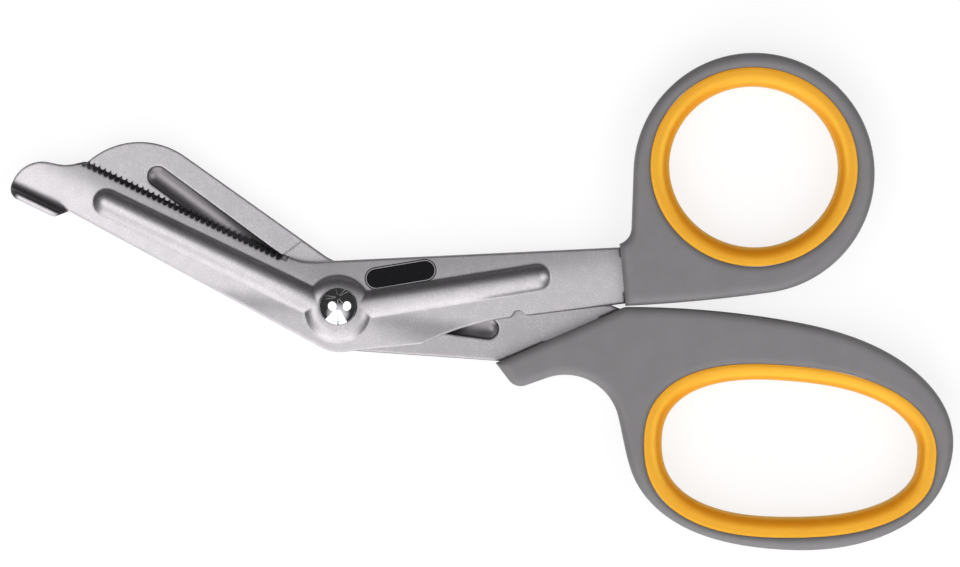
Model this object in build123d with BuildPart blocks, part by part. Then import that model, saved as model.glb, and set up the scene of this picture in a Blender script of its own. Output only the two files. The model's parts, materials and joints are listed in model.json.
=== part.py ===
from build123d import *

import os
from math import asin, cos, degrees, radians, sin, sqrt

# Sizes are in millimetres and degrees. The drawing is made with the pivot at the origin, the flat
# inner faces of the blades on either side of z = 0, the jaws towards -X and the handles towards +X.

# Blade sheet
sheet = 1.2
blade_gap = 0.1
die_roll = 0.2

# Front blade: jaw, seen along a ray from the pivot to the tip
front_edge_angle = 154.3
front_edge_height = 4.4
front_edge_tip = 54.3
front_edge_heel = 12.5
front_spine_drop = 8.4
front_spine_taper = 2.7
spine_corner_radius = 7.5
heel_radius = 10.0

# Front blade: foot bent up at the tip
foot_drop = 8.1
foot_heel_back = 0.7
foot_heel_length = 2.0
foot_heel_radius = 1.2
foot_length = 9.7
foot_toe_radius = 2.3
foot_toe_turn = -10.0
foot_nose_radius = 6.2
foot_nose_turn = 55.0
instep_reach = 4.2
instep_height = 1.5
instep_slope = 37.0
foot_height = 4.4
foot_wall = 0.95
foot_bend = 2.4
foot_corner = 2.6
foot_fade = 3.0
foot_fade_drop = 2.0

# Front blade: shank
front_top_height = 8.6
front_top_rise = 2.7
front_belly_drop = 8.8
front_belly_rise = 5.7
front_waist_drop = 6.3
front_waist_rise = 7.1
belly_end = 15.9
waist_start = 31.8
notch_step = 2.45
notch_radius = 1.1
notch_mouth = 1.0

# Scalloped cutting edge
tooth_pitch = 1.13
tooth_depth = 0.39
tooth_land = 0.06
tip_gullets = 1
bevel_angle = 51.0
edge_land = 0.08

# Rear blade: jaw
rear_spine_angle = 144.6
rear_spine_height = 6.3
rear_nose_length = 15.2
rear_edge_angle = 148.0
rear_edge_drop = 5.6
rear_tip_reach = 0.9
rear_bevel_width = 1.1
grind_depth = 0.1
grind_along = 12.6
grind_angle = 37.0

# Rear blade: shank
rear_heel_radius = 8.25
rear_bottom_fall = 4.0
rear_top_height = 8.3
rear_top_fall = 5.7
rear_waist_height = 5.7
rear_waist_fall = 6.1
rear_shoulder_back = 1.8
rear_end_reach = 11.2

# Stamped ribs and pivot boss, raised on the outer face and hollow inside
rib_rise = 1.1
boss_flat = 3.9
boss_slope = 2.5
boss_shift = 0.6
front_rib_width = 5.2
front_jaw_rib_angle = 154.3
front_jaw_rib_margin = 6.1
front_jaw_rib_drop = 0.8
front_shank_rib_angle = 9.0
front_shank_rib_margin = 15.7
rear_rib_width = 5.3
rear_jaw_rib_angle = 143.6
rear_jaw_rib_reach = 2.4
rear_shank_rib_angle = -7.4
rear_shank_rib_margin = 13.5

# Pivot screw and nut
screw_radius = 2.0
screw_fit = 0.05
pivot_clearance = 0.08
head_radius = 3.65
head_rim = 0.35
head_height = 2.0
nut_radius = 3.4
nut_thickness = 1.5
nut_edge = 0.3
nut_slot_width = 0.9
nut_slot_depth = 0.6
nut_clearance = 0.1

# Handles
handle_thickness = 10.0
handle_rim = 1.4
tang_fit = 0.05
tang_corner = 1.0
grip_fit = 0.05
grip_inner_radius = 2.4
grip_outer_radius = 0.4

# Thumb handle
thumb_half_length = 16.0
thumb_flattening = 0.8
thumb_tilt = -6.0
thumb_grip_width = 3.65
thumb_wall = 3.1
thumb_edge_radius = 1.4
thumb_hole_rise = 1.2
thumb_hole_back = 0.05
thumb_loop_step = 2.1
thumb_loop_drop = 3.6
thumb_bottom_turn = -82.0
thumb_side_turn = 178.0
collar_x = 53.85
collar_y = 5.95
front_tang_angle = 5.3
front_tang_length = 11.0
front_tang_width = 6.8
collar_overlap_top = 0.65
collar_overlap_bottom = 0.45
collar_throat = 3.0

# Finger handle
finger_half_length = 24.25
finger_half_height = 12.85
finger_squareness = 2.4
finger_taper = -0.073
finger_lean = -0.05
finger_tilt = -2.2
finger_hole_drop = 2.25
finger_hole_back = 0.05
finger_grip_width = 3.45
finger_seat_drop = 0.45
finger_end_wall = 3.0
finger_side_wall = 5.2
finger_edge_radius = 1.4
outer_squareness = 2.24
outer_taper = -0.089
outer_lean = 0.066
outer_tilt = -9.65
outer_start_turn = 96.0
outer_end_turn = -148.0
loop_steps = 20
loop_top_rise = 2.1
loop_step = 1.45
blade_end_x = 42.2
blade_end_y = -5.4
blade_end_angle = 23.5
finger_corner_step = 0.8
finger_corner_radius = 3.0
rest_side = 0.75
rest_drop = 18.0
rest_radius = 10.4
rest_start_turn = 14.0
rest_end_turn = 109.6
hook_angle = 127.4
hook_radius = 2.8
hook_overlap = 0.9
rear_tang_side = 4.8
rear_tang_rise = 0.5
rear_tang_angle = -8.0
rear_tang_length = 15.0
rear_tang_width = 6.0

# Places that follow from those sizes
foot_heel = front_edge_tip - foot_heel_back
foot_nose_along = foot_heel + foot_length
instep_along = front_edge_tip + instep_reach
notch_along = waist_start + notch_step
rear_edge_tip = front_edge_tip + rear_tip_reach
rear_nose_along = rear_edge_tip - rear_nose_length
rear_end_x = blade_end_x + rear_end_reach
rear_shoulder_x = rear_end_x - rear_shoulder_back
finger_corner_x = rear_end_x + finger_corner_step

# Levels that follow from the sheet and the ribs
inner_face = blade_gap / 2
outer_face = inner_face + sheet
seat_face = outer_face + rib_rise
boss_centre = (0, -boss_shift)


def polar(angle, length):
    """Point at a distance from the pivot, in a direction."""
    return (length * cos(radians(angle)), length * sin(radians(angle)))


def beside(angle, along, right):
    """Point at a distance along a ray from the pivot, and at another to the right of the ray."""
    ray_x, ray_y = polar(angle, 1)
    return (along * ray_x + right * ray_y, along * ray_y - right * ray_x)


def crossing(first, first_angle, second, second_angle):
    """Point where two lines cross, each one given by a point and a direction."""
    turn = radians(second_angle - first_angle)
    gap_x = second[0] - first[0]
    gap_y = second[1] - first[1]
    way_x, way_y = polar(second_angle, 1)
    reach = (gap_x * way_y - gap_y * way_x) / sin(turn)
    step_x, step_y = polar(first_angle, reach)
    return (first[0] + step_x, first[1] + step_y)


def on_line(start, angle, x):
    """Point at a given x on a line through a point."""
    return (x, start[1] + (x - start[0]) * sin(radians(angle)) / cos(radians(angle)))


def oval_point(turn, centre, half_length, half_height, squareness, taper, lean, tilt):
    """Point on a rounded, tapered and leaning oval, at a turn from its long axis."""
    along = cos(radians(turn))
    across = sin(radians(turn))
    power = 2 / squareness
    x = abs(along) ** power * (1 if along >= 0 else -1)
    y = half_height * abs(across) ** power * (1 if across >= 0 else -1) * (1 + taper * x)
    x = half_length * x + lean * y
    tilt_x, tilt_y = polar(tilt, 1)
    return (centre[0] + x * tilt_x - y * tilt_y, centre[1] + x * tilt_y + y * tilt_x)


def hollow_width(half_width):
    """Half width of the hollow that leaves an even wall under a rounded rise of the sheet."""
    inside = (half_width**2 + rib_rise**2) / (2 * rib_rise) - sheet
    return sqrt(2 * inside * rib_rise - rib_rise**2)


def dome(centre, flat, slope, base):
    """Round rise of the sheet on the plane z = base, with a flat top and a rounded slope."""
    root = sheet / 2
    slope_radius = (slope**2 + rib_rise**2) / (2 * rib_rise)
    slope_turn = degrees(asin(slope / slope_radius))
    with BuildPart() as rise:
        with BuildSketch(Plane((*centre, base), x_dir=(1, 0, 0), z_dir=(0, -1, 0))):
            with BuildLine():
                CenterArc((flat, rib_rise - slope_radius), slope_radius, 90 - slope_turn, slope_turn)
                Polyline((flat + slope, 0), (flat + slope, -root), (0, -root), (0, rib_rise))
                if flat > 0:
                    Line((0, rib_rise), (flat, rib_rise))
            make_face()
        revolve(axis=Axis((*centre, base), (0, 0, 1)))
    return rise.part


def rib(angle, length, drop, half_width, base):
    """Rounded ridge on the plane z = base, from a drop below the boss's middle to a domed end."""
    root = sheet / 2
    way = polar(angle, 1)
    side_x, side_y = beside(angle, 0, -drop)
    start = (boss_centre[0] + side_x, boss_centre[1] + side_y)
    end = (start[0] + way[0] * length, start[1] + way[1] * length)
    with BuildPart() as ridge:
        with BuildSketch(Plane((*start, base), x_dir=(-way[1], way[0], 0), z_dir=(*way, 0))):
            with BuildLine():
                ThreePointArc((-half_width, 0), (0, rib_rise), (half_width, 0))
                Polyline((half_width, 0), (half_width, -root), (-half_width, -root), (-half_width, 0))
            make_face()
        extrude(amount=length)
        add(dome(end, 0, half_width, base))
    return ridge.part


def stamping(base, rib_half_width, slope, jaw_rib, shank_rib):
    """Boss and two ribs in one body, standing on the plane z = base."""
    with BuildPart() as relief:
        add(dome(boss_centre, boss_flat, slope, base))
        add(rib(*jaw_rib, rib_half_width, base))
        add(rib(*shank_rib, rib_half_width, base))
    return relief.part


def near(builder, point):
    """The sketch's corner that lies nearest to a point."""
    return builder.vertices().sort_by_distance((*point, 0))[0]


def draw_tang(place, angle, length, width, margin):
    """Draw the tongue of a blade, which runs from its shank into the handle."""
    with Locations(Location((*place, 0), (0, 0, angle))):
        RectangleRounded(2 * (length + margin), width + 2 * margin, tang_corner + margin)


def ring_edges(builder, inner):
    """Edges round the hole, or round the outside, on both flat faces of a ring."""
    edges = ShapeList()
    for face in builder.faces().filter_by(Axis.Z):
        wire = face.inner_wires()[0] if inner else face.outer_wire()
        edges.extend(wire.edges())
    return edges


# Corners of the front blade
edge_start = beside(front_edge_angle, front_edge_tip, front_edge_height)
front_top = (0, front_top_height)
front_heel = crossing(edge_start, front_edge_angle, front_top, front_top_rise)
collar = (collar_x, collar_y)
collar_angle = front_tang_angle + 90
shank_top = crossing(front_top, front_top_rise, collar, collar_angle)
front_waist = (0, -front_waist_drop)
shank_bottom = crossing(front_waist, front_waist_rise, collar, collar_angle)
waist_corner = on_line(front_waist, front_waist_rise, waist_start)
front_belly = (0, -front_belly_drop)
belly_corner = on_line(front_belly, front_belly_rise, belly_end)
spine_start = beside(front_edge_angle, 0, -front_spine_drop)
spine_angle = front_edge_angle - front_spine_taper
spine_corner = crossing(spine_start, spine_angle, front_belly, front_belly_rise)
heel_side = beside(front_edge_angle, foot_heel, 0)
sole_start = crossing(spine_start, spine_angle, heel_side, front_edge_angle + 90)
sole_heel = beside(front_edge_angle, foot_heel + foot_heel_length, -foot_drop)
sole_end = beside(front_edge_angle, foot_nose_along, -foot_drop)
toe_height = foot_toe_radius - foot_drop
back_out, back_up = polar(foot_toe_turn, foot_toe_radius - foot_nose_radius)
toe_out, toe_up = polar((foot_toe_turn - 90) / 2, foot_toe_radius)
toe_middle = beside(front_edge_angle, foot_nose_along + toe_out, toe_height + toe_up)
nose_places = []
for turn in (foot_toe_turn, (foot_toe_turn + foot_nose_turn) / 2, foot_nose_turn):
    nose_out, nose_up = polar(turn, foot_nose_radius)
    nose_along = foot_nose_along + back_out + nose_out
    nose_places.append(beside(front_edge_angle, nose_along, toe_height + back_up + nose_up))
instep = beside(front_edge_angle, instep_along, instep_height)
nose_way = beside(front_edge_angle, -nose_up, nose_out)
edge_way = beside(front_edge_angle, *[-part for part in polar(-instep_slope, 1)])
notch = on_line(front_waist, front_waist_rise, notch_along)

# Outline of the front blade, from the tip of the edge round by the shank and the foot
with BuildSketch() as front_outline:
    with BuildLine():
        Polyline(edge_start, front_heel, shank_top, shank_bottom, waist_corner)
        TangentArc(waist_corner, belly_corner, tangent=polar(front_waist_rise + 180, 1))
        Polyline(belly_corner, spine_corner, sole_start, sole_heel, sole_end)
        ThreePointArc(sole_end, toe_middle, nose_places[0])
        ThreePointArc(*nose_places)
        Spline(nose_places[-1], instep, edge_start, tangents=[nose_way, edge_way])
    make_face()
    fillet(near(front_outline, front_heel), heel_radius)
    fillet(near(front_outline, spine_corner), spine_corner_radius)
    fillet(near(front_outline, sole_heel), foot_heel_radius)
    with Locations(notch):
        Circle(notch_radius, mode=Mode.SUBTRACT)
    fillet(front_outline.vertices().sort_by_distance((*notch, 0))[:2], notch_mouth)

# Foot: wall along the sole, with the rounded inside of its bend
jaw_way = polar(front_edge_angle, 1)
jaw_right = beside(front_edge_angle, 0, 1)
jaw_left = beside(front_edge_angle, 0, -1)
outer_bend = foot_bend + foot_wall
sole_length = foot_nose_along + foot_toe_radius - foot_heel
sole_corner = beside(front_edge_angle, foot_heel, -foot_drop)
sole_plane = Plane((*sole_corner, inner_face), x_dir=(*jaw_right, 0), z_dir=(-jaw_way[0], -jaw_way[1], 0))

with BuildPart() as foot:
    with BuildSketch(Plane.XY.offset(inner_face)):
        add(front_outline.sketch)
        with Locations(Location((*sole_corner, 0), (0, 0, front_edge_angle))):
            Rectangle(2 * sole_length, 2 * foot_wall, mode=Mode.INTERSECT)
    extrude(amount=foot_height)
    with BuildSketch(Plane((*sole_corner, inner_face), x_dir=(*jaw_way, 0), z_dir=(*jaw_right, 0))):
        with Locations((sole_length / 2, 0)):
            RectangleRounded(sole_length, 2 * foot_height, foot_corner)
    extrude(amount=2 * sheet, both=True, mode=Mode.INTERSECT)

with BuildPart() as foot_fill:
    with BuildSketch(sole_plane):
        with BuildLine():
            RadiusArc((outer_bend, sheet), (foot_wall, sheet + foot_bend), foot_bend)
            Polyline(
                (foot_wall, sheet + foot_bend),
                (foot_wall / 2, sheet + foot_bend),
                (foot_wall / 2, sheet / 2),
                (outer_bend, sheet / 2),
                (outer_bend, sheet),
            )
        make_face()
    extrude(amount=-sole_length)
    with BuildSketch(Plane.XY.offset(inner_face)):
        add(front_outline.sketch)
        with BuildLine():
            fade_start = beside(front_edge_angle, foot_heel, -foot_drop + foot_fade_drop)
            fade_end = beside(front_edge_angle, foot_heel + foot_fade, -foot_drop + outer_bend)
            fade_back = beside(front_edge_angle, foot_heel - foot_fade, -foot_drop + outer_bend)
            Polyline(fade_start, fade_end, fade_back, fade_start)
        make_face(mode=Mode.SUBTRACT)
    extrude(amount=foot_height, mode=Mode.INTERSECT)

# Front blade: blank with its tang, stamped ribs, foot and scalloped edge
front_rib = front_rib_width / 2
front_jaw_rib = (front_jaw_rib_angle, front_edge_tip - front_jaw_rib_margin, front_jaw_rib_drop)
front_shank_rib = (front_shank_rib_angle, collar_x - front_shank_rib_margin, 0)
front_relief = stamping(outer_face, front_rib, boss_slope, front_jaw_rib, front_shank_rib)
front_hollow = stamping(
    inner_face, hollow_width(front_rib), hollow_width(boss_slope), front_jaw_rib, front_shank_rib
)

bevel_width = sheet * cos(radians(bevel_angle)) / sin(radians(bevel_angle))
tooth_chord = tooth_pitch / 2 - tooth_land
tooth_radius = (tooth_chord**2 + tooth_depth**2) / (2 * tooth_depth)
tooth_length = 2 * sheet / sin(radians(bevel_angle))
tooth_count = int((front_edge_tip - front_edge_heel) / tooth_pitch) + 1 + tip_gullets
groove_in = bevel_width / 2 - (tooth_radius - tooth_depth) * sin(radians(bevel_angle))
groove_level = inner_face + sheet / 2 + (tooth_radius - tooth_depth) * cos(radians(bevel_angle))
groove_side, groove_rise = polar(bevel_angle, 1)
groove_way = (jaw_left[0] * groove_side, jaw_left[1] * groove_side, groove_rise)
groove_planes = []
for tooth in range(tooth_count):
    groove_along = front_edge_tip + (tip_gullets - tooth) * tooth_pitch + tooth_pitch / 2
    groove_place = beside(front_edge_angle, groove_along, front_edge_height - groove_in)
    groove_planes.append(Plane((*groove_place, groove_level), x_dir=(*jaw_way, 0), z_dir=groove_way))
edge_heel = beside(front_edge_angle, front_edge_heel, front_edge_height)
edge_plane = Plane((*edge_heel, inner_face), x_dir=(*jaw_left, 0), z_dir=(*jaw_way, 0))

with BuildPart() as front_blade:
    with BuildSketch(Plane.XY.offset(inner_face)):
        add(front_outline.sketch)
    extrude(amount=sheet)
    chamfer(front_blade.faces().sort_by(Axis.Z)[-1].outer_wire().edges(), die_roll)
    with BuildSketch(Plane.XY.offset(inner_face)):
        draw_tang(collar, front_tang_angle, front_tang_length, front_tang_width, 0)
    extrude(amount=sheet)
    add(foot.part)
    add(foot_fill.part)
    with BuildSketch(sole_plane):
        with BuildLine():
            RadiusArc((outer_bend, 0), (0, outer_bend), outer_bend)
            Polyline(
                (0, outer_bend),
                (-sheet, outer_bend),
                (-sheet, -sheet),
                (outer_bend, -sheet),
                (outer_bend, 0),
            )
        make_face()
    extrude(amount=-2 * sole_length, mode=Mode.SUBTRACT)
    add(front_relief)
    add(front_hollow, mode=Mode.SUBTRACT)
    with BuildSketch(edge_plane):
        with BuildLine():
            Polyline(
                (0, edge_land),
                (bevel_width, sheet),
                (bevel_width, 2 * sheet),
                (-sheet, 2 * sheet),
                (-sheet, edge_land),
                close=True,
            )
        make_face()
    extrude(amount=front_edge_tip - front_edge_heel + (1 + tip_gullets) * tooth_pitch, mode=Mode.SUBTRACT)
    with Locations(*groove_planes):
        Cylinder(tooth_radius, tooth_length, mode=Mode.SUBTRACT)
    with BuildSketch():
        Circle(screw_radius + screw_fit)
    extrude(amount=seat_face, mode=Mode.SUBTRACT)

# Corners of the rear blade
rear_spine_start = beside(rear_spine_angle, 0, rear_spine_height)
rear_top = (0, rear_top_height)
rear_corner = crossing(rear_spine_start, rear_spine_angle, rear_top, -rear_top_fall)
rear_belly = on_line(rear_top, -rear_top_fall, belly_end)
rear_waist_line = (0, rear_waist_height)
rear_waist = on_line(rear_waist_line, -rear_waist_fall, waist_start)
rear_shoulder = on_line(rear_waist_line, -rear_waist_fall, rear_shoulder_x)
blade_end = (blade_end_x, blade_end_y)
rear_end_top = on_line(blade_end, blade_end_angle, rear_end_x)
rear_bottom_turn = 270 - rear_bottom_fall
rear_bottom = polar(rear_bottom_turn, rear_heel_radius)
rear_end_bottom = crossing(rear_bottom, -rear_bottom_fall, blade_end, blade_end_angle)
rear_heel_turn = rear_edge_angle + degrees(asin(rear_edge_drop / rear_heel_radius))
rear_heel = polar(rear_heel_turn, rear_heel_radius)
rear_heel_middle = polar((rear_heel_turn + rear_bottom_turn) / 2, rear_heel_radius)
rear_tip = beside(rear_edge_angle, rear_edge_tip, -rear_edge_drop)
rear_nose = beside(rear_spine_angle, rear_nose_along, rear_spine_height)
rear_edge_way = polar(rear_edge_angle + 180, 1)
rear_edge_middle = beside(rear_edge_angle, rear_edge_tip / 2, -rear_edge_drop)
grind_place = beside(rear_spine_angle, grind_along, rear_spine_height)

# Rear blade, drawn with its outer face up and then turned over
rear_rib = rear_rib_width / 2
rear_jaw_rib = (rear_jaw_rib_angle, rear_nose_along + rear_jaw_rib_reach, 0)
rear_shank_rib = (rear_shank_rib_angle, blade_end_x - rear_shank_rib_margin, 0)
rear_relief = stamping(outer_face, rear_rib, boss_slope, rear_jaw_rib, rear_shank_rib)
rear_hollow = stamping(
    inner_face, hollow_width(rear_rib), hollow_width(boss_slope), rear_jaw_rib, rear_shank_rib
)
rear_edge_plane = Plane(
    (*rear_tip, inner_face), x_dir=(*beside(rear_edge_angle, 0, 1), 0), z_dir=(*rear_edge_way, 0)
)
rear_tang_place = (blade_end_x + rear_tang_side, blade_end_y + rear_tang_rise)

with BuildPart() as rear_upturned:
    with BuildSketch(Plane.XY.offset(inner_face)) as rear_outline:
        with BuildLine():
            Polyline(rear_nose, rear_corner, rear_belly)
            TangentArc(rear_waist, rear_belly, tangent=polar(180 - rear_waist_fall, 1))
            Polyline(rear_waist, rear_shoulder, rear_end_top, rear_end_bottom, rear_bottom)
            ThreePointArc(rear_bottom, rear_heel_middle, rear_heel)
            Line(rear_heel, rear_tip)
            TangentArc(rear_nose, rear_tip, tangent=polar(rear_spine_angle, 1))
        make_face()
        fillet(near(rear_outline, rear_corner), spine_corner_radius)
    extrude(amount=sheet)
    chamfer(rear_upturned.faces().sort_by(Axis.Z)[-1].outer_wire().edges(), die_roll)
    rear_rim = rear_upturned.faces().sort_by(Axis.Z)[0].outer_wire().edges()
    chamfer(rear_rim.sort_by_distance((*rear_edge_middle, inner_face))[1:], die_roll)
    with BuildSketch(Plane.XY.offset(inner_face)):
        draw_tang(rear_tang_place, rear_tang_angle, rear_tang_length, rear_tang_width, 0)
    extrude(amount=sheet)
    add(rear_relief)
    add(rear_hollow, mode=Mode.SUBTRACT)
    with BuildSketch(rear_edge_plane):
        with BuildLine():
            Polyline(
                (0, edge_land),
                (rear_bevel_width, sheet),
                (rear_bevel_width, 2 * sheet),
                (-sheet, 2 * sheet),
                (-sheet, edge_land),
                close=True,
            )
        make_face()
    extrude(amount=rear_edge_tip - rear_heel_radius, mode=Mode.SUBTRACT)
    with BuildSketch(Plane.XY.offset(inner_face)):
        with Locations(Location((*grind_place, 0), (0, 0, grind_angle))):
            Rectangle(2 * rear_edge_tip, 2 * rear_edge_tip, align=(Align.CENTER, Align.MIN))
    extrude(amount=grind_depth, mode=Mode.SUBTRACT)
    with BuildSketch():
        Circle(screw_radius + pivot_clearance)
    extrude(amount=seat_face, mode=Mode.SUBTRACT)

with BuildPart() as rear_blade:
    mirror(rear_upturned.part, about=Plane.XY)

# Pivot screw with a domed head on the front boss
head_rise = head_height - head_rim
head_curve = (head_radius**2 + head_rise**2) / (2 * head_rise)
head_turn = degrees(asin(head_radius / head_curve))
nut_face = -seat_face - nut_clearance
screw_end = nut_face - nut_thickness

with BuildPart() as pivot_screw:
    with BuildSketch(Plane.XZ):
        with BuildLine():
            Polyline(
                (0, seat_face + head_height),
                (0, screw_end),
                (screw_radius, screw_end),
                (screw_radius, seat_face),
                (head_radius, seat_face),
                (head_radius, seat_face + head_rim),
            )
            CenterArc((0, seat_face + head_height - head_curve), head_curve, 90 - head_turn, head_turn)
        make_face()
    revolve(axis=Axis.Z)

# Slotted ring nut on the rear boss
with BuildPart() as pivot_nut:
    with BuildSketch(Plane.XY.offset(screw_end)):
        Circle(nut_radius)
        Circle(screw_radius + screw_fit, mode=Mode.SUBTRACT)
    extrude(amount=nut_thickness)
    chamfer(pivot_nut.faces().sort_by(Axis.Z)[0].outer_wire().edges(), nut_edge)
    with BuildSketch(Plane.XY.offset(screw_end)):
        Rectangle(2 * nut_radius, nut_slot_width)
    extrude(amount=nut_slot_depth, mode=Mode.SUBTRACT)

# Thumb handle: round loop on a collar that holds the front blade's tang
handle_base = -handle_thickness / 2
thumb_edge = min(thumb_edge_radius, thumb_wall - handle_rim)
finger_edge = min(finger_edge_radius, finger_end_wall - handle_rim)
thumb_half_height = thumb_half_length - thumb_flattening
thumb_outer_radius = thumb_half_length + thumb_grip_width + thumb_wall
thumb_outer_x = collar_x + thumb_loop_step + thumb_outer_radius
thumb_outer_y = collar_y - thumb_loop_drop + thumb_outer_radius
thumb_outer_centre = (thumb_outer_x, thumb_outer_y)
thumb_centre = (thumb_outer_x - thumb_hole_back, thumb_outer_y + thumb_hole_rise)
over_x, over_y = polar(collar_angle, collar_overlap_top)
collar_top = (shank_top[0] + over_x, shank_top[1] + over_y)
under_x, under_y = polar(collar_angle, -collar_overlap_bottom)
collar_bottom = (shank_bottom[0] + under_x, shank_bottom[1] + under_y)
side_x, side_y = polar(thumb_side_turn, thumb_outer_radius)
side_top = (thumb_outer_centre[0] + side_x, thumb_outer_centre[1] + side_y)
throat = crossing(side_top, thumb_side_turn + 90, (0, collar_top[1] + collar_throat), 0)

with BuildPart() as thumb_handle:
    with BuildSketch(Plane.XY.offset(handle_base)):
        with BuildLine():
            loop_turn = thumb_side_turn - thumb_bottom_turn
            loop = CenterArc(thumb_outer_centre, thumb_outer_radius, thumb_bottom_turn, loop_turn)
            TangentArc(loop @ 0, collar_bottom, tangent=(loop % 0) * -1)
            Line(collar_bottom, collar_top)
            side = Line(side_top, throat)
            TangentArc(throat, collar_top, tangent=side % 1)
        make_face()
    extrude(amount=handle_thickness)
    fillet(thumb_handle.faces().filter_by(Axis.Z).edges(), thumb_edge)
    with BuildSketch(Plane.XY.offset(handle_base)):
        with Locations(Location((*thumb_centre, 0), (0, 0, thumb_tilt))):
            Ellipse(thumb_half_length + thumb_grip_width, thumb_half_height + thumb_grip_width)
    extrude(amount=handle_thickness, mode=Mode.SUBTRACT)
    with BuildSketch(Plane.XY.offset(inner_face - tang_fit)):
        draw_tang(collar, front_tang_angle, front_tang_length, front_tang_width, tang_fit)
    extrude(amount=sheet + 2 * tang_fit, mode=Mode.SUBTRACT)

# Soft ring in the thumb loop
with BuildPart() as thumb_grip_ring:
    with BuildSketch(Plane.XY.offset(handle_base)):
        with Locations(Location((*thumb_centre, 0), (0, 0, thumb_tilt))):
            ring_reach = thumb_grip_width - grip_fit
            Ellipse(thumb_half_length + ring_reach, thumb_half_height + ring_reach)
            Ellipse(thumb_half_length, thumb_half_height, mode=Mode.SUBTRACT)
    extrude(amount=handle_thickness)
    fillet(ring_edges(thumb_grip_ring, inner=False), grip_outer_radius)
    fillet(ring_edges(thumb_grip_ring, inner=True), grip_inner_radius)

# Finger handle: long loop with a finger rest and a hook under the rear blade
rest_x = blade_end_x + rest_side
rest_y = blade_end_y - rest_drop
outer_half_length = finger_half_length + finger_grip_width + finger_end_wall
outer_half_height = finger_half_height + finger_grip_width + finger_side_wall
outer_x = rest_x + rest_radius + loop_step + outer_half_length
outer_y = blade_end_y + loop_top_rise - outer_half_height
finger_centre = (outer_x - finger_hole_back, outer_y - finger_hole_drop)
finger_form = (finger_squareness, finger_taper, finger_lean, finger_tilt)
outer_form = (outer_squareness, outer_taper, outer_lean, outer_tilt)
hook_x, hook_y = polar(blade_end_angle, -hook_overlap)
hook_top = (rear_end_bottom[0] + hook_x, rear_end_bottom[1] + hook_y)
rest_reach_x, rest_reach_y = polar(rest_end_turn, rest_radius)
rest_end = (rest_x + rest_reach_x, rest_y + rest_reach_y)
hook_corner = crossing(rest_end, rest_end_turn + 90, hook_top, hook_angle)
finger_corner = on_line(blade_end, blade_end_angle, finger_corner_x)
outer_size = (outer_half_length, outer_half_height)
loop_points = []
for step in range(loop_steps + 1):
    turn = outer_start_turn + (outer_end_turn - outer_start_turn) * step / loop_steps
    loop_points.append(oval_point(turn, (outer_x, outer_y), *outer_size, *outer_form))


def finger_oval(reach, drop):
    """Points of the closed curve that lies at a reach outside the finger hole, and a drop below it."""
    centre = (finger_centre[0], finger_centre[1] - drop)
    half_sizes = (finger_half_length + reach, finger_half_height + reach)
    points = []
    for step in range(loop_steps):
        points.append(oval_point(360 * step / loop_steps, centre, *half_sizes, *finger_form))
    return points


with BuildPart() as finger_handle:
    with BuildSketch(Plane.XY.offset(handle_base)) as finger_outline:
        with BuildLine():
            loop = Spline(*loop_points)
            TangentArc(loop @ 0, finger_corner, tangent=(loop % 0) * -1)
            rest = CenterArc((rest_x, rest_y), rest_radius, rest_start_turn, rest_end_turn - rest_start_turn)
            Spline(loop @ 1, rest @ 0, tangents=[loop % 1, rest % 0])
            Polyline(rest @ 1, hook_corner, hook_top, finger_corner)
        make_face()
        fillet(near(finger_outline, hook_corner), hook_radius)
        fillet(near(finger_outline, finger_corner), finger_corner_radius)
    extrude(amount=handle_thickness)
    fillet(finger_handle.faces().filter_by(Axis.Z).edges(), finger_edge)
    with BuildSketch(Plane.XY.offset(handle_base)):
        with BuildLine():
            Spline(*finger_oval(finger_grip_width, finger_seat_drop), periodic=True)
        make_face()
    extrude(amount=handle_thickness, mode=Mode.SUBTRACT)
    with BuildSketch(Plane.XY.offset(-outer_face - tang_fit)):
        draw_tang(rear_tang_place, rear_tang_angle, rear_tang_length, rear_tang_width, tang_fit)
    extrude(amount=sheet + 2 * tang_fit, mode=Mode.SUBTRACT)

# Soft ring in the finger loop
with BuildPart() as finger_grip_ring:
    with BuildSketch(Plane.XY.offset(handle_base)):
        with BuildLine():
            Spline(*finger_oval(finger_grip_width - grip_fit, finger_seat_drop), periodic=True)
        make_face()
        with BuildLine():
            Spline(*finger_oval(0, 0), periodic=True)
        make_face(mode=Mode.SUBTRACT)
    extrude(amount=handle_thickness)
    fillet(ring_edges(finger_grip_ring, inner=False), grip_outer_radius)
    fillet(ring_edges(finger_grip_ring, inner=True), grip_inner_radius)

# The finished part stands on its handles, with its origin under the middle of its box
pieces = {
    "front_blade": front_blade.part,
    "rear_blade": rear_blade.part,
    "pivot_screw": pivot_screw.part,
    "pivot_nut": pivot_nut.part,
    "thumb_handle": thumb_handle.part,
    "finger_handle": finger_handle.part,
    "thumb_grip_ring": thumb_grip_ring.part,
    "finger_grip_ring": finger_grip_ring.part,
}
box = front_blade.part.bounding_box()
for piece in pieces.values():
    box = box.add(piece.bounding_box())
pivot = (-box.center().X, -box.center().Y, -box.min.Z)
os.makedirs("parts", exist_ok=True)
for name, piece in pieces.items():
    placed = piece.moved(Location(pivot))
    placed.label = name
    export_step(placed, f"parts/{name}.step")
print("pivot at", pivot)
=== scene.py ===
import json
import math

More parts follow.
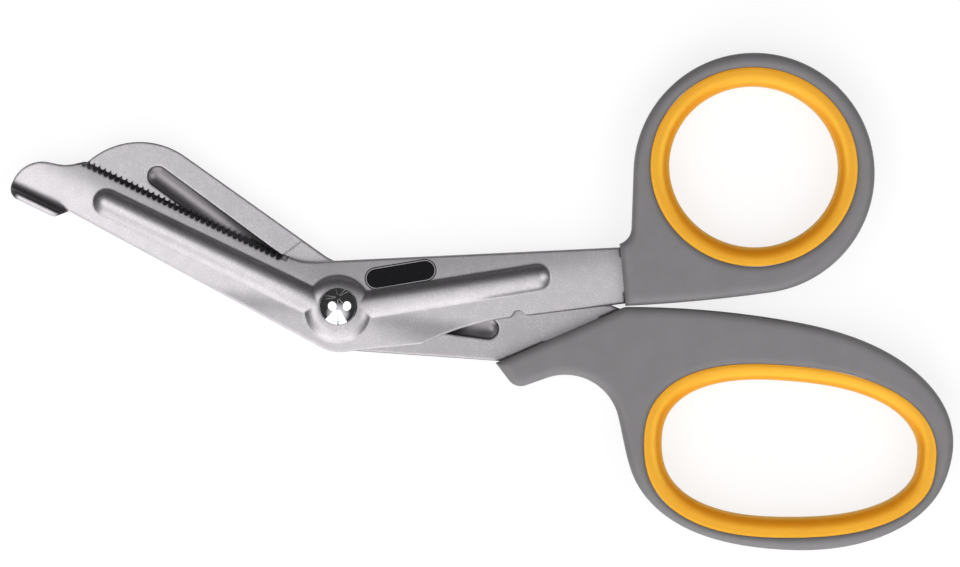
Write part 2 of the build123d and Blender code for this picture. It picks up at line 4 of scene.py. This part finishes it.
import bpy
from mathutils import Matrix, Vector


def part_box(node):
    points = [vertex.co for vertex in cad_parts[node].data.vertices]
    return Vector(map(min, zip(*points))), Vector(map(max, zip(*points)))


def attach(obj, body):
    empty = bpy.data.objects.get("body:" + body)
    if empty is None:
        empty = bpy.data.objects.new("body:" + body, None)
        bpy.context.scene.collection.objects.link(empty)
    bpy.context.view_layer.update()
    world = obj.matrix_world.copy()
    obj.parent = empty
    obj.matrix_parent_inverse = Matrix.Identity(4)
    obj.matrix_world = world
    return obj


# The picture: its size in pixels, the size of one pixel on the object, and the pixel of the pivot
PICTURE_WIDTH = 960
PICTURE_HEIGHT = 567
PIXEL = 0.000189
PIVOT_PIXEL = (337.8, 306.0)
CAMERA_DISTANCE = 2.5
PICTURE_PLANE = 0.008
SENSOR_WIDTH = 36.0

# Lamps stand on a dome round the pivot: their lean from straight above, azimuth, size and brightness
LAMP_DISTANCE = 0.5
LEFT_LAMP = (26, 180)
RIGHT_LAMP = (42, 0)
SIDE_LAMP_SIZE = (0.344, 0.344)
SIDE_LAMP_LIGHT = 2.2

# The front lamp is a fan of panels, wider and brighter as it comes down: their leans and brightness, and the
# azimuths of its two sides
FAN_PANELS = {27: 0.8, 41: 0.8, 55: 1.0, 69: 1.8, 83: 2.8}
FAN_SECTORS = {"left": (-133, -93), "right": (-87, -61)}
FAN_STEP = 14

# Soft glow of the studio overhead, a little to the front, which fades to dark (cosines of the angle from it)
GLOW_LEAN = 36
GLOW = (1.0, 1.0, 1.015)
DARK = (0.045, 0.045, 0.046)
FADE = (0.6, 0.97)

# Floor and background
FLOOR_SIZE = 12.0
FLOOR_COLOUR = (0.25, 0.25, 0.25, 1)
FLOOR_ROUGHNESS = 0.9
FLOOR_LIFT = 0.8
WHITE = (1, 1, 1, 1)

# Scalloped bevel of the front jaw, painted dark as shade, seen along a ray from the pivot, in metres
JAW_ANGLE = 154.3
BEVEL_START = 0.0133
BEVEL_END = 0.0568
BEVEL_ROOT = 0.0026
BEVEL_ROOT_BLEND = 0.0001
BEVEL_STEEPNESS = (0.9, 0.8)

# Bend of the foot beyond the jaw's rib, painted dark as shade: its start along that ray and its height
FOOT_START = 0.052
FOOT_BEND = (0.00127, 0.0018)
FOOT_STEEPNESS = (0.99, 0.9)

# Spring-back of the stamped sheet: its flats fall away beside the ribs, and its jaw towards the tip
SHANK_ANGLE = 9.0
CROWN_SLOPE = 0.125
CROWN_WIDTH = 0.003
CROWN_BLEND = 0.004
BOW = 0.9

# Hollows behind the ribs: the depths, in metres, over which painted shade darkens them, and the painted dark
# line of shade round their rim
HOLLOW_SHADE_DEPTH = (0.0002, 0.0008)
RIM_UPPER = (0.00007, 0.00012)
RIM_LOWER = (0.00045, 0.0002)
RIM_STEEPNESS = (0.97, 0.9)

# Fine relief, softened edges and the soft ends of marks, in metres
RELIEF = 0.00002
BLADE_EDGE = 0.0006
HANDLE_EDGE = 0.002
GRIP_EDGE = 0.0003
MARK_BLEND = 0.0003
EDGE_SAMPLES = 6

# Colours, from the darker to the lighter of a noise, and the colours of darker places: worn steel, and
# painted shade in the hollows, round their rims, on the scallops, in the foot's bend and round the screw
# head's rim
STEEL = ((0.44, 0.422, 0.437), (0.565, 0.543, 0.563))
WORN_STEEL = (0.455, 0.438, 0.453)
PAINTED_HOLLOW_SHADE = (0.25, 0.235, 0.247)
PAINTED_RIM_SHADE_STEEL = (0.12, 0.115, 0.12)
PAINTED_BEVEL_SHADE = (0.085, 0.081, 0.086)
PAINTED_BEND_SHADE = (0.2, 0.19, 0.2)
CHROME = ((0.68, 0.68, 0.69), (0.76, 0.76, 0.77))
PAINTED_HEAD_RIM_SHADE = (0.16, 0.16, 0.165)
GREY = ((0.207, 0.2, 0.205), (0.22, 0.212, 0.217))
AMBER = ((0.92, 0.295, 0.006), (0.96, 0.325, 0.008))
AMBER_SHEEN = (1, 0.8, 0.1, 1)
AMBER_GLOSS = (0.8, 0.9, 0.17, 1)
INK = ((0.002, 0.002, 0.003), (0.006, 0.006, 0.008))

# Noise of each material, in features per metre
STEEL_GRAIN = 3200
STEEL_CLOUD = 500
STEEL_CLOUD_DETAIL = 5
CHROME_MARKS = 900
GREY_GRAIN = 2600
GREY_CLOUD = 260
AMBER_GRAIN = 2200
AMBER_CLOUD = 200
INK_GRAIN = 3000

# Finish of each material: roughness from low to high, strength of its relief, wear, sheen and gloss
STEEL_ROUGHNESS = (0.34, 0.48)
CHROME_ROUGHNESS = (0.05, 0.12)
GREY_ROUGHNESS = (0.4, 0.52)
AMBER_ROUGHNESS = (0.38, 0.5)
INK_ROUGHNESS = (0.3, 0.42)
STEEL_RELIEF = 0.15
GREY_RELIEF = 0.12
AMBER_RELIEF = 0.1
WEAR = 0.6
WEAR_RANGE = (0.4, 0.6)
SHEEN = 0.3
SHEEN_ROUGHNESS = 0.4
AMBER_IOR = 2.8
INK_GLOSS = 0.12

# Head of the screw: its rim, painted dark as shade, and a star of fine scratches with its middle, the angle
# and reach of its rays, where they start, their roughness and their half width, in degrees and metres
HEAD_RIM = (0.0034, 0.0036)
SCRATCH_MIDDLE = Vector((0, 0.0017, 0))
SCRATCHES = {28: 0.0023, 46: 0.0022, 103: 0.0016, 174: 0.0026, 190: 0.0025, 272: 0.0012, 308: 0.0016}
SCRATCH_START = 0.0002
SCRATCH_ROUGHNESS = 0.55
SCRATCH_WIDTH = (0.00003, 0.0001)

# Moulded lip round each soft ring, which closes the joint with its handle, in metres
LIP_TOP = 0.00002
LIP_HEIGHT = 0.0003
LIP_WIDTH = 0.0005
LIP_JOINT = 0.0004
LIP_TURN_DIGITS = 3

# Printed lozenge on the front shank, from the pivot, in metres
LABEL_CENTRE = (0.01185, 0.00597)
LABEL_ANGLE = 9.5
LABEL_LENGTH = 0.0130
LABEL_HEIGHT = 0.0036
LABEL_MARGIN = 0.00036
LABEL_LINE = 0.0002
LABEL_THICKNESS = 0.00002
BLADE_FACE = 0.00125

# Colour sockets of a Mix node, which has one set of sockets for each type of data
MIX_FACTOR = 0
MIX_COLOURS = slice(6, 8)
MIX_COLOUR = 2

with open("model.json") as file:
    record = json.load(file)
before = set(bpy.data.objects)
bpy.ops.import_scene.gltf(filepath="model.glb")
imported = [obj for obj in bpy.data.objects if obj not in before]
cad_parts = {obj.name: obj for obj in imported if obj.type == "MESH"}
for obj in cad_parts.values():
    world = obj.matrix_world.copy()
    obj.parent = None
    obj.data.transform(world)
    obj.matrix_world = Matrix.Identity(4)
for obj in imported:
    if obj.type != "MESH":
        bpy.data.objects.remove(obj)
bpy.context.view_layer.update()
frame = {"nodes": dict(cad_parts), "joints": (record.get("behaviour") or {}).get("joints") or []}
nodes = frame["nodes"]
pivot = Vector(frame["joints"][0]["pos_m"])


# Materials


def new_material(name):
    """Empty node material with a principled shader; returns it with its shader."""
    material = bpy.data.materials.new(name)
    material.use_nodes = True
    return material, material.node_tree.nodes["Principled BSDF"]


def add_node(material, kind, **values):
    """Node of a kind, with its properties or unlinked inputs set by name."""
    node = material.node_tree.nodes.new(kind)
    for key, value in values.items():
        if hasattr(node, key):
            setattr(node, key, value)
        else:
            node.inputs[key.replace("_", " ").title()].default_value = value
    return node


def link(material, source, target):
    """Wire between two sockets."""
    material.node_tree.links.new(source, target)


def noise(material, scale, detail=3.0, roughness=0.55):
    """Noise over the object's own coordinates, in features per metre."""
    place = add_node(material, "ShaderNodeTexCoord")
    texture = add_node(material, "ShaderNodeTexNoise", scale=scale, detail=detail, roughness=roughness)
    link(material, place.outputs["Object"], texture.inputs["Vector"])
    return texture.outputs["Fac"]


def ramp(material, factor, low, high, start=0.35, end=0.65):
    """Colour that goes from low to high as the factor goes from start to end."""
    node = add_node(material, "ShaderNodeValToRGB")
    first, last = node.color_ramp.elements
    first.position, first.color = start, (*low, 1)
    last.position, last.color = end, (*high, 1)
    link(material, factor, node.inputs["Fac"])
    return node.outputs["Color"]


def level(material, factor, low, high, start=0.0, end=1.0):
    """Number that goes from low to high as the factor goes from start to end."""
    node = add_node(material, "ShaderNodeMapRange")
    node.inputs["From Min"].default_value = start
    node.inputs["From Max"].default_value = end
    node.inputs["To Min"].default_value = low
    node.inputs["To Max"].default_value = high
    link(material, factor, node.inputs["Value"])
    return node.outputs["Result"]


def combine(material, operation, *operands):
    """One arithmetic step on sockets or plain numbers."""
    node = add_node(material, "ShaderNodeMath", operation=operation)
    for place, operand in zip(node.inputs, operands):
        if isinstance(operand, (int, float)):
            place.default_value = operand
        else:
            link(material, operand, place)
    return node.outputs[0]


def mask(material, *limits):
    """Product of levels: 1 where every value is past its end, and 0 where one is short of its start."""
    product = 1
    for value, start, end in limits:
        product = combine(material, "MULTIPLY", product, level(material, value, 0, 1, start, end))
    return product


def mixed(material, factor, first, second):
    """Colour between two others; each is a socket or a plain colour."""
    node = add_node(material, "ShaderNodeMix", data_type="RGBA")
    for place, colour in zip(node.inputs[MIX_COLOURS], (first, second)):
        if isinstance(colour, tuple):
            place.default_value = (*colour, 1)
        else:
            link(material, colour, place)
    link(material, factor, node.inputs[MIX_FACTOR])
    return node.outputs[MIX_COLOUR]


def bump(material, height, strength, distance, normal):
    """Relief of a height on top of another normal."""
    node = add_node(material, "ShaderNodeBump", strength=strength, distance=distance)
    link(material, height, node.inputs["Height"])
    link(material, normal, node.inputs["Normal"])
    return node.outputs["Normal"]


def soft_edges(material, radius):
    """Normal that rounds the edges of the form."""
    return add_node(material, "ShaderNodeBevel", samples=EDGE_SAMPLES, radius=radius).outputs["Normal"]


def steepness(material):
    """How far a surface faces up, from -1 to 1."""
    geometry = add_node(material, "ShaderNodeNewGeometry")
    parts = add_node(material, "ShaderNodeSeparateXYZ")
    link(material, geometry.outputs["True Normal"], parts.inputs["Vector"])
    return parts.outputs["Z"]


def from_pivot(material, angle, shift=Vector()):
    """Distances from the pivot, or a place beside it: along a ray, to its left, and up."""
    place = add_node(material, "ShaderNodeTexCoord")
    turned = add_node(material, "ShaderNodeMapping", vector_type="TEXTURE")
    turned.inputs["Location"].default_value = pivot + shift
    turned.inputs["Rotation"].default_value = (0, 0, math.radians(angle))
    parts = add_node(material, "ShaderNodeSeparateXYZ")
    link(material, place.outputs["Object"], turned.inputs["Vector"])
    link(material, turned.outputs["Vector"], parts.inputs["Vector"])
    return parts.outputs


def spring_back(material, along, left):
    """Height of the front blade's flats, which fall away beside its ribs and towards its tip."""
    beside_jaw = combine(material, "ABSOLUTE", left)
    beside_shank = combine(material, "ABSOLUTE", from_pivot(material, SHANK_ANGLE)[1])
    beside = combine(material, "SMOOTH_MIN", beside_jaw, beside_shank, CROWN_BLEND)
    towards_tip = combine(material, "MAXIMUM", along, 0)
    squares = combine(material, "ADD", combine(material, "POWER", beside, 2), CROWN_WIDTH**2)
    crown = combine(material, "MULTIPLY", combine(material, "SQRT", squares), -CROWN_SLOPE)
    bow = combine(material, "MULTIPLY", combine(material, "POWER", towards_tip, 2), -BOW / 2)
    return combine(material, "ADD", crown, bow)


def satin_steel(name, scalloped):
    """Stamped stainless sheet with a fine grain, with painted shade in its hollows, round their rims, on the
    scallops and in the foot's bend.
    """
    material, shader = new_material(name)
    grain = noise(material, STEEL_GRAIN)
    cloud = noise(material, STEEL_CLOUD, detail=STEEL_CLOUD_DETAIL)
    upward = steepness(material)
    along, left, up = from_pivot(material, JAW_ANGLE)
    depth = combine(material, "MULTIPLY", combine(material, "MULTIPLY", up, upward), -1)
    # Painted shade: the colour darkens in the hollows, and along a dark line round their rims
    hollow_shade = level(material, depth, 0, 1, *HOLLOW_SHADE_DEPTH)
    rim_shade = mask(material, (depth, *RIM_UPPER), (depth, *RIM_LOWER), (upward, *RIM_STEEPNESS))
    colour = ramp(material, grain, *STEEL)
    colour = mixed(material, level(material, cloud, 0, WEAR, *WEAR_RANGE), colour, WORN_STEEL)
    colour = mixed(material, hollow_shade, colour, PAINTED_HOLLOW_SHADE)
    colour = mixed(material, rim_shade, colour, PAINTED_RIM_SHADE_STEEL)
    normal = soft_edges(material, BLADE_EDGE)
    if scalloped:
        # Painted shade: the scalloped bevel is coloured near black
        bevel_shade = mask(
            material,
            (left, -BEVEL_ROOT, -BEVEL_ROOT - BEVEL_ROOT_BLEND),
            (along, BEVEL_START, BEVEL_START + MARK_BLEND),
            (along, BEVEL_END, BEVEL_END - MARK_BLEND),
            (upward, *BEVEL_STEEPNESS),
        )
        # Painted shade: the bend of the foot is coloured dark
        bend_shade = mask(
            material,
            (up, *FOOT_BEND),
            (along, FOOT_START, FOOT_START + MARK_BLEND),
            (upward, *FOOT_STEEPNESS),
        )
        colour = mixed(material, bevel_shade, colour, PAINTED_BEVEL_SHADE)
        colour = mixed(material, bend_shade, colour, PAINTED_BEND_SHADE)
        height = spring_back(material, along, left)
        normal = bump(material, height, strength=1, distance=1, normal=normal)
    link(material, colour, shader.inputs["Base Color"])
    link(material, level(material, grain, *STEEL_ROUGHNESS), shader.inputs["Roughness"])
    link(material, bump(material, grain, STEEL_RELIEF, RELIEF, normal), shader.inputs["Normal"])
    shader.inputs["Metallic"].default_value = 1.0
    return material


def bright_chrome():
    """Polished head of the pivot screw, with fine handling marks and scratches, and painted shade round its
    rim.
    """
    material, shader = new_material("bright_chrome")
    marks = noise(material, CHROME_MARKS)
    across, forward, _ = from_pivot(material, 0)
    squares = [combine(material, "MULTIPLY", reach, reach) for reach in (across, forward)]
    radius = combine(material, "SQRT", combine(material, "ADD", *squares))
    # Painted shade: the rim of the head is coloured dark
    rim_shade = level(material, radius, 0, 1, *HEAD_RIM)
    colour = mixed(material, rim_shade, ramp(material, marks, *CHROME), PAINTED_HEAD_RIM_SHADE)
    roughness = level(material, marks, *CHROME_ROUGHNESS)
    for angle, reach in SCRATCHES.items():
        along, left, _ = from_pivot(material, angle, SCRATCH_MIDDLE)
        beside = combine(material, "ABSOLUTE", left)
        ends = mask(
            material,
            (along, SCRATCH_START, SCRATCH_START + MARK_BLEND),
            (along, reach, reach - MARK_BLEND),
        )
        scratch = level(material, beside, SCRATCH_ROUGHNESS, 0, *SCRATCH_WIDTH)
        scratch = combine(material, "MULTIPLY", scratch, ends)
        roughness = combine(material, "MAXIMUM", roughness, scratch)
    link(material, colour, shader.inputs["Base Color"])
    link(material, roughness, shader.inputs["Roughness"])
    shader.inputs["Metallic"].default_value = 1.0
    return material


def grey_plastic():
    """Satin moulded plastic of the handles."""
    material, shader = new_material("grey_plastic")
    cloud = noise(material, GREY_CLOUD)
    grain = noise(material, GREY_GRAIN)
    normal = bump(material, grain, GREY_RELIEF, RELIEF, soft_edges(material, HANDLE_EDGE))
    link(material, ramp(material, cloud, *GREY), shader.inputs["Base Color"])
    link(material, level(material, grain, *GREY_ROUGHNESS), shader.inputs["Roughness"])
    link(material, normal, shader.inputs["Normal"])
    return material


def amber_rubber():
    """Soft moulded lining of the loops, with a yellow gloss."""
    material, shader = new_material("amber_rubber")
    cloud = noise(material, AMBER_CLOUD)
    grain = noise(material, AMBER_GRAIN)
    normal = bump(material, grain, AMBER_RELIEF, RELIEF, soft_edges(material, GRIP_EDGE))
    link(material, ramp(material, cloud, *AMBER), shader.inputs["Base Color"])
    link(material, level(material, grain, *AMBER_ROUGHNESS), shader.inputs["Roughness"])
    link(material, normal, shader.inputs["Normal"])
    shader.inputs["Sheen Weight"].default_value = SHEEN
    shader.inputs["Sheen Roughness"].default_value = SHEEN_ROUGHNESS
    shader.inputs["Sheen Tint"].default_value = AMBER_SHEEN
    shader.inputs["IOR"].default_value = AMBER_IOR
    shader.inputs["Specular Tint"].default_value = AMBER_GLOSS
    return material


def black_print():
    """Glossy ink of the lozenge on the blade."""
    material, shader = new_material("black_print")
    grain = noise(material, INK_GRAIN)
    link(material, ramp(material, grain, *INK), shader.inputs["Base Color"])
    link(material, level(material, grain, *INK_ROUGHNESS), shader.inputs["Roughness"])
    shader.inputs["Specular IOR Level"].default_value = INK_GLOSS
    return material


def white_floor():
    """Pale floor that the camera and reflections see near white, with the object's shadow on it."""
    material, shader = new_material("white_floor")
    shader.inputs["Base Color"].default_value = FLOOR_COLOUR
    shader.inputs["Roughness"].default_value = FLOOR_ROUGHNESS
    path = add_node(material, "ShaderNodeLightPath")
    seen = path.outputs["Is Camera Ray"]
    for ray in ("Is Glossy Ray", "Is Transmission Ray"):
        seen = combine(material, "MAXIMUM", seen, path.outputs[ray])
    shader.inputs["Emission Color"].default_value = WHITE
    link(material, level(material, seen, 0, FLOOR_LIFT), shader.inputs["Emission Strength"])
    return material


def dress(names, material):
    """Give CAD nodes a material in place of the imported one."""
    for name in names:
        for slot in nodes[name].material_slots:
            slot.material = material


dress(["front_blade"], satin_steel("front_steel", scalloped=True))
dress(["rear_blade"], satin_steel("rear_steel", scalloped=False))
dress(["pivot_screw", "pivot_nut"], bright_chrome())
dress(["thumb_handle", "finger_handle"], grey_plastic())
amber = amber_rubber()
dress(["thumb_grip_ring", "finger_grip_ring"], amber)


# Thin pieces: the lips of the soft rings, and the plain lozenge printed on the front shank


def band(name, outer, inner, bottom, top, material, body, slot):
    """Flat closed piece between two heights, inside one outline and outside the second, if there is one."""
    count = len(outer)
    vertices = [(x, y, z) for points in (outer, inner) for z in (bottom, top) for x, y in points]
    faces = []
    if not inner:
        faces += [tuple(range(count, 2 * count)), tuple(reversed(range(count)))]
    for index in range(count):
        after = (index + 1) % count
        faces.append((index, after, count + after, count + index))
        if inner:
            faces.append((count + index, count + after, 3 * count + after, 3 * count + index))
            faces.append((index, 2 * count + index, 2 * count + after, after))
            faces.append((2 * count + index, 3 * count + index, 3 * count + after, 2 * count + after))
    mesh = bpy.data.meshes.new(name)
    mesh.from_pydata(vertices, [], faces)
    mesh.materials.append(material)
    piece = bpy.data.objects.new(name, mesh)
    bpy.context.scene.collection.objects.link(piece)
    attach(piece, body)


def ring_lip(name, ring, body):
    """Lip along the outer wall of a soft ring, just below its top face."""
    low, high = (Vector(corner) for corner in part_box(ring))
    centre = (low + high) / 2
    wall = {}
    for vertex in nodes[ring].data.vertices:
        x, y, _ = vertex.co - centre
        outward = vertex.normal.x * x + vertex.normal.y * y > 0
        if outward and abs(high.z - LIP_JOINT - vertex.co.z) < LIP_TOP / 2:
            wall[round(math.atan2(y, x), LIP_TURN_DIGITS)] = math.hypot(x, y)
    outlines = []
    for inset in (0, LIP_WIDTH):
        outlines.append(
            [
                (centre.x + (reach - inset) * math.cos(turn), centre.y + (reach - inset) * math.sin(turn))
                for turn, reach in sorted(wall.items())
            ]
        )
    band(name, *outlines, high.z - LIP_TOP - LIP_HEIGHT, high.z - LIP_TOP, amber, body, "grip_rubber")


ring_lip("thumb_ring_lip", "thumb_grip_ring", "thumb_half")
ring_lip("finger_ring_lip", "finger_grip_ring", "finger_half")


def stadium(length, height, steps=24):
    """Points round a lozenge with rounded ends, centred on the origin."""
    radius = height / 2
    reach = length / 2 - radius
    points = []
    for side, start in ((1, -90), (-1, 90)):
        for step in range(steps + 1):
            turn = math.radians(start + 180 * step / steps)
            points.append((side * reach + radius * math.cos(turn), radius * math.sin(turn)))
    return points


def on_shank(points):
    """Outline turned and moved to its place on the front shank."""
    turn = math.radians(LABEL_ANGLE)
    placed = []
    for x, y in points:
        across = x * math.cos(turn) - y * math.sin(turn) + LABEL_CENTRE[0]
        along = x * math.sin(turn) + y * math.cos(turn) + LABEL_CENTRE[1]
        placed.append((pivot.x + across, pivot.y + along))
    return placed


def label(name, outer, inner):
    """Print on the face of the front blade."""
    face = pivot.z + BLADE_FACE
    outlines = on_shank(outer), on_shank(inner)
    band(name, *outlines, face, face + LABEL_THICKNESS, ink, "thumb_half", "blade_steel")


ink = black_print()
line_length = LABEL_LENGTH + 2 * LABEL_MARGIN
line_height = LABEL_HEIGHT + 2 * LABEL_MARGIN
label("label_field", stadium(LABEL_LENGTH, LABEL_HEIGHT), [])
label(
    "label_line",
    stadium(line_length, line_height),
    stadium(line_length - 2 * LABEL_LINE, line_height - 2 * LABEL_LINE),
)


# Floor, lamps, world and camera


def aim(obj, target):
    """Turn a lamp to face a point."""
    obj.rotation_euler = (Vector(target) - obj.location).to_track_quat("-Z", "Y").to_euler()


def area_lamp(name, way, shape, size, light):
    """Soft lamp on the dome, of an even brightness, which faces the pivot."""
    lean, azimuth = math.radians(way[0]), math.radians(way[1])
    outward = Vector((math.sin(lean) * math.cos(azimuth), math.sin(lean) * math.sin(azimuth), math.cos(lean)))
    lamp = bpy.data.lights.new(name, "AREA")
    lamp.shape = shape
    lamp.size, lamp.size_y = size
    area = size[0] * size[1]
    if shape == "DISK":
        area *= math.pi / 4
    lamp.energy = light * math.pi * area
    obj = bpy.data.objects.new(name, lamp)
    obj.location = pivot + outward * LAMP_DISTANCE
    bpy.context.scene.collection.objects.link(obj)
    aim(obj, pivot)


bpy.ops.mesh.primitive_plane_add(size=FLOOR_SIZE)
floor = bpy.context.active_object
floor.name = "floor"
floor.data.materials.append(white_floor())

area_lamp("left_lamp", LEFT_LAMP, "DISK", SIDE_LAMP_SIZE, SIDE_LAMP_LIGHT)
area_lamp("right_lamp", RIGHT_LAMP, "DISK", SIDE_LAMP_SIZE, SIDE_LAMP_LIGHT)
panel_height = LAMP_DISTANCE * math.radians(FAN_STEP)
for lean, light in FAN_PANELS.items():
    for side, (start, end) in FAN_SECTORS.items():
        half_angle = math.radians(end - start) / 2
        panel_width = 2 * LAMP_DISTANCE * math.sin(math.radians(lean)) * math.tan(half_angle)
        way = (lean, (start + end) / 2)
        area_lamp(f"fan_lamp_{lean}_{side}", way, "RECTANGLE", (panel_width, panel_height), light)

world = bpy.data.worlds.new("studio")
world.use_nodes = True
direction = add_node(world, "ShaderNodeTexCoord")
towards_glow = add_node(world, "ShaderNodeVectorMath", operation="DOT_PRODUCT")
glow_lean = math.radians(GLOW_LEAN)
towards_glow.inputs[1].default_value = (0, -math.sin(glow_lean), math.cos(glow_lean))
link(world, direction.outputs["Generated"], towards_glow.inputs[0])
studio = ramp(world, towards_glow.outputs["Value"], DARK, GLOW, *FADE)
link(world, studio, world.node_tree.nodes["Background"].inputs["Color"])
bpy.context.scene.world = world

centre_x = pivot.x + (PICTURE_WIDTH / 2 - PIVOT_PIXEL[0]) * PIXEL
centre_y = pivot.y + (PIVOT_PIXEL[1] - PICTURE_HEIGHT / 2) * PIXEL
camera_data = bpy.data.cameras.new("camera")
camera_data.sensor_width = SENSOR_WIDTH
camera_data.lens = SENSOR_WIDTH * CAMERA_DISTANCE / (PICTURE_WIDTH * PIXEL)
camera = bpy.data.objects.new("camera", camera_data)
camera.location = (centre_x, centre_y, PICTURE_PLANE + CAMERA_DISTANCE)
bpy.context.scene.collection.objects.link(camera)
bpy.context.scene.camera = camera
bpy.context.scene.view_settings.view_transform = "Standard"
